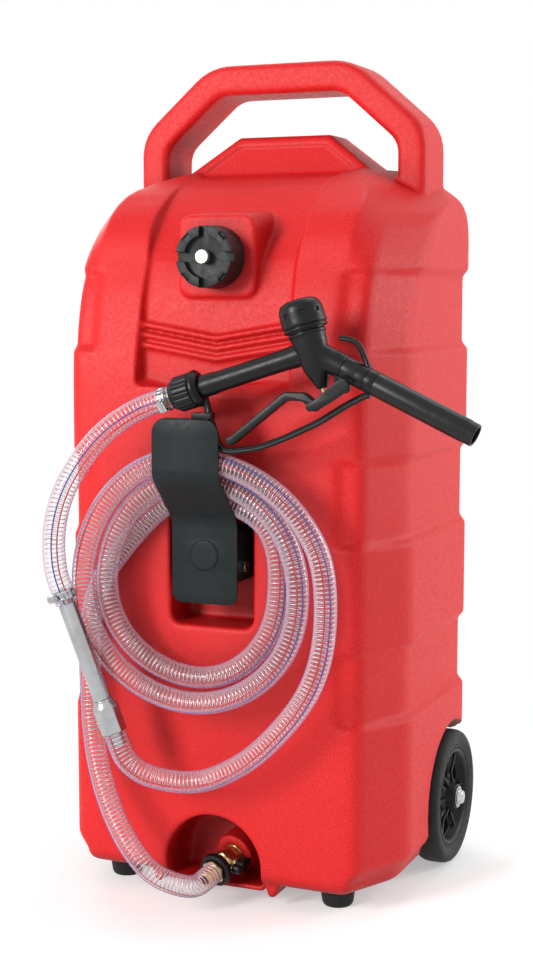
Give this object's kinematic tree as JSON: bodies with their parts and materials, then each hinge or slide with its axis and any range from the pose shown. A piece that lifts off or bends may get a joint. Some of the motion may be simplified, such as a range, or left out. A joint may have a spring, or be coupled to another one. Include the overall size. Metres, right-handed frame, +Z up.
{
  "type": "wheeled fuel tank",
  "caption": "Moulded portable fuel tank on wheels, with a carrying handle, vented screw cap, drain valve, clear hose coiled on a steel bracket and a trigger nozzle.",
  "frame": {"origin": "middle of the underside of the box round the object without its hose, on the floor", "axes": "+Z up, -Y out of the front with the filler cap and the hose bracket, +X along the axle to the side that the nozzle points to"},
  "size_m": [0.5556, 0.4325, 0.97],
  "materials": {
    "red_plastic": "fine grain, moulded",
    "black_plastic": "satin",
    "black_steel": "powder coat",
    "rubber": "matt",
    "tyre": "matt",
    "brass": "turned",
    "zinc_steel": "zinc plated",
    "bright_steel": "polished",
    "aluminium": "satin",
    "clear_hose": "clear, with a wound wire"
  },
  "bodies": {
    "tank": {"tank_shell": "red_plastic", "hose_bracket": "black_steel", "bracket_screw_left": "zinc_steel", "bracket_screw_right": "zinc_steel", "bracket_cross_bolt": "zinc_steel", "bracket_cross_nut": "zinc_steel", "outlet_insert": "brass", "valve_body": "brass", "union_nut": "black_plastic", "outlet_barb": "brass", "hose_tail": "clear_hose", "hose_coil": "clear_hose", "hose_return": "clear_hose", "hose_lead": "clear_hose", "tube_coupling": "aluminium", "inline_tube": "aluminium", "clamp_lead": "bright_steel", "clamp_nozzle": "bright_steel", "nozzle_tail": "brass", "nozzle_nut": "black_plastic", "nozzle_body": "black_plastic", "nozzle_cap": "black_plastic", "nozzle_spout": "black_plastic", "poppet_spring": "zinc_steel", "spout_hook": "black_plastic", "trigger_guard": "black_plastic", "trigger_pin": "zinc_steel", "axle": "zinc_steel", "axle_cap_left": "bright_steel", "axle_cap_right": "bright_steel", "washer_inner_left": "zinc_steel", "washer_inner_right": "zinc_steel", "washer_outer_left": "zinc_steel", "washer_outer_right": "zinc_steel", "foot_left": "rubber", "foot_right": "rubber", "foot_screw_left": "zinc_steel", "foot_screw_right": "zinc_steel"},
    "filler_cap": {"fuel_cap": "black_plastic", "cap_gasket": "rubber"},
    "vent": {"vent_pin": "brass"},
    "drain_handle": {"valve_ball": "bright_steel", "valve_knob": "black_plastic"},
    "wheel_left": {"tyre_left": "tyre", "wheel_rim_left": "black_plastic", "wheel_bush_left": "zinc_steel"},
    "wheel_right": {"tyre_right": "tyre", "wheel_rim_right": "black_plastic", "wheel_bush_right": "zinc_steel"},
    "trigger_lever": {"trigger": "black_plastic"},
    "nozzle_valve": {"nozzle_poppet": "brass"}
  },
  "joints": [
    {"name": "cap_turn", "type": "hinge", "parent": "tank", "child": "filler_cap", "pos_m": [-0.04951, -0.10495, 0.7365], "axis": [0, -1, 0], "range_deg": [0, 540]},
    {"name": "vent_push", "type": "slide", "parent": "filler_cap", "child": "vent", "axis": [0, 1, 0], "range_m": [0, 0.002], "stiffness_N_per_m": 150, "springref_m": -0.001},
    {"name": "drain_turn", "type": "hinge", "parent": "tank", "child": "drain_handle", "pos_m": [-0.03779, -0.10721, 0.0447], "axis": [0.9798, -0.1939, -0.049], "range_deg": [0, 90]},
    {"name": "wheel_left_spin", "type": "hinge", "parent": "tank", "child": "wheel_left", "pos_m": [-0.25026, 0.12205, 0.0816], "axis": [1, 0, 0], "continuous": true},
    {"name": "wheel_right_spin", "type": "hinge", "parent": "tank", "child": "wheel_right", "pos_m": [0.15124, 0.12205, 0.0816], "axis": [1, 0, 0], "continuous": true},
    {"name": "trigger_pull", "type": "hinge", "parent": "tank", "child": "trigger_lever", "pos_m": [0.12949, -0.17945, 0.599], "axis": [0, 1, 0], "range_deg": [0, 10], "stiffness_Nm_per_rad": 0.6, "springref_deg": -8.59},
    {"name": "poppet_lift", "type": "slide", "parent": "tank", "child": "nozzle_valve", "axis": [-0.3024, 0, 0.9532], "range_m": [0, 0.0037], "deforming": ["poppet_spring"]}
  ],
  "couplings": [
    {"joint": "poppet_lift", "follows": "trigger_pull", "m_per_rad": 0.0209}
  ]
}
